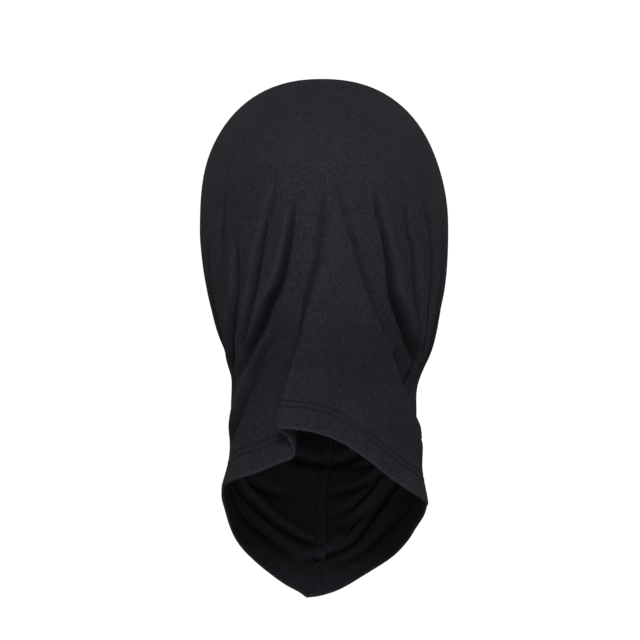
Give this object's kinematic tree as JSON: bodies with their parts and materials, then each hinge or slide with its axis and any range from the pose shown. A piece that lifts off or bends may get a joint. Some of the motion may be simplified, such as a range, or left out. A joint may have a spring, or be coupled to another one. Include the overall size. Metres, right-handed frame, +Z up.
{
  "type": "balaclava",
  "caption": "Thin jersey balaclava, worn: one-piece hood with an elastic-bound oval face opening, a crown seam and a front seam, and a turned-up neck hem running to a point in front.",
  "frame": {"origin": "inside of the crown, where the top of the wearer's head bears against the cloth", "axes": "+Z up the wearer's head, -Y the way the face looks, +X to the wearer's left"},
  "size_m": [0.16, 0.2021, 0.342],
  "materials": {
    "jersey": "matte brushed stretch jersey, near-black charcoal, finely heathered",
    "binding_jersey": "matte stretch jersey, cut as a strip and folded over the face edge",
    "elastic_tape": "woven flat elastic, black",
    "sewing_thread": "textured polyester thread, black, slight sheen",
    "label_satin": "plain woven satin ribbon, dark grey, blank"
  },
  "bodies": {
    "root": {"hood_panel": "jersey", "face_binding": "binding_jersey", "face_elastic": "elastic_tape", "face_needle_thread_inner_row": "sewing_thread", "face_needle_thread_outer_row": "sewing_thread", "face_looper_thread": "sewing_thread", "chin_bartack": "sewing_thread", "crown_seam_overlock": "sewing_thread", "crown_seam_needle_thread": "sewing_thread", "front_seam_overlock": "sewing_thread", "front_seam_needle_thread": "sewing_thread", "hem_needle_thread_lower_row": "sewing_thread", "hem_needle_thread_upper_row": "sewing_thread", "hem_looper_thread": "sewing_thread", "care_label": "label_satin"}
  },
  "joints": []
}
